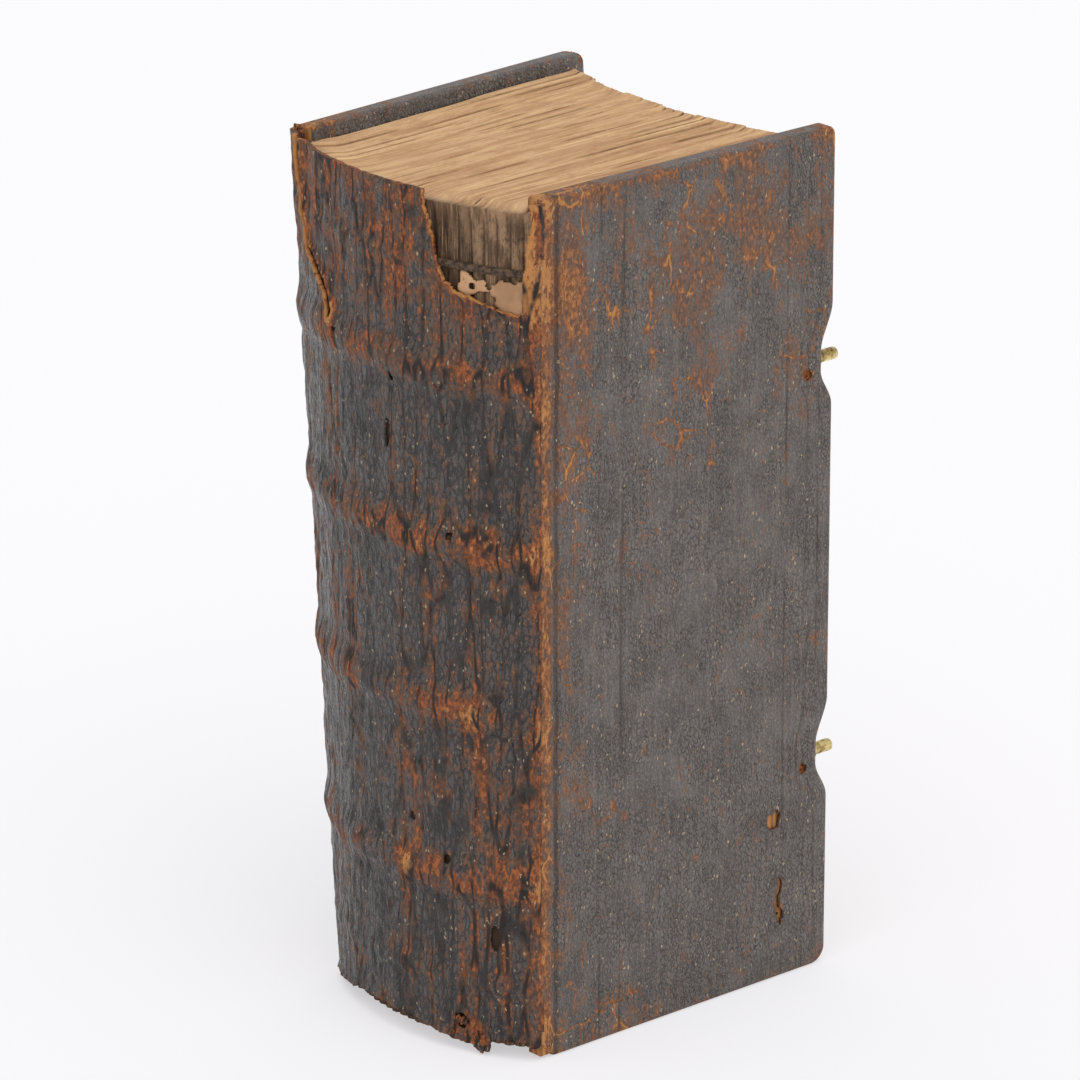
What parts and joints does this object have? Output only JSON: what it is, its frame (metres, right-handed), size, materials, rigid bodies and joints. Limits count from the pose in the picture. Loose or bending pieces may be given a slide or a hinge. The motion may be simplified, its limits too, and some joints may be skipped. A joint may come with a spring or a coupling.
{
  "type": "antique leather book",
  "caption": "Small, thick hand-bound book standing on its tail, with worn leather over wooden boards, a spine with raised bands, torn at the head, and brass catch pins on the fore edge.",
  "frame": {"origin": "middle of the box of the shut book, at the floor that its boards stand on", "axes": "+Z from tail to head, -Y towards the spine, +Y towards the fore edge, +X towards the front board"},
  "size_m": [0.0726, 0.0864, 0.165],
  "materials": {
    "cover_leather": "worn satin, dark brown with rubbed tan edges",
    "spine_leather": "wrinkled, dark brown with orange-brown wear",
    "old_paper": "toned rag paper edges",
    "lining_paper": "plain aged paper",
    "flax_cord": "twisted, darkened flax",
    "board_wood": "thin planed wood",
    "old_brass": "tarnished, satin",
    "rusty_iron": "rusted"
  },
  "bodies": {
    "book_block": {"text_block": "old_paper", "spine_leather": "spine_leather", "sewing_cord_1": "flax_cord", "sewing_cord_2": "flax_cord", "sewing_cord_3": "flax_cord", "sewing_cord_4": "flax_cord", "kettle_thread_tail": "flax_cord", "kettle_thread_head": "flax_cord", "spine_lining_1": "lining_paper", "spine_lining_2": "lining_paper", "spine_lining_3": "lining_paper", "spine_lining_4": "lining_paper", "spine_lining_5": "lining_paper"},
    "front_cover": {"front_board": "board_wood", "front_leather": "cover_leather", "front_pastedown": "lining_paper", "front_slip_1": "flax_cord", "front_slip_2": "flax_cord", "front_slip_3": "flax_cord", "front_slip_4": "flax_cord", "catch_pin_lower": "old_brass", "catch_pin_upper": "old_brass", "catch_nail_lower": "rusty_iron", "catch_nail_upper": "rusty_iron"},
    "back_cover": {"back_board": "board_wood", "back_leather": "cover_leather", "back_pastedown": "lining_paper", "back_slip_1": "flax_cord", "back_slip_2": "flax_cord", "back_slip_3": "flax_cord", "back_slip_4": "flax_cord"}
  },
  "joints": [
    {"name": "front_cover_joint", "type": "hinge", "parent": "book_block", "child": "front_cover", "pos_m": [0.03621, -0.03118, 0.0825], "axis": [0, 0, -1], "range_deg": [0, 110]},
    {"name": "back_cover_joint", "type": "hinge", "parent": "book_block", "child": "back_cover", "pos_m": [-0.02579, -0.03158, 0.08233], "axis": [-0.0644, -0.0048, 0.9979], "range_deg": [0, 110]}
  ]
}
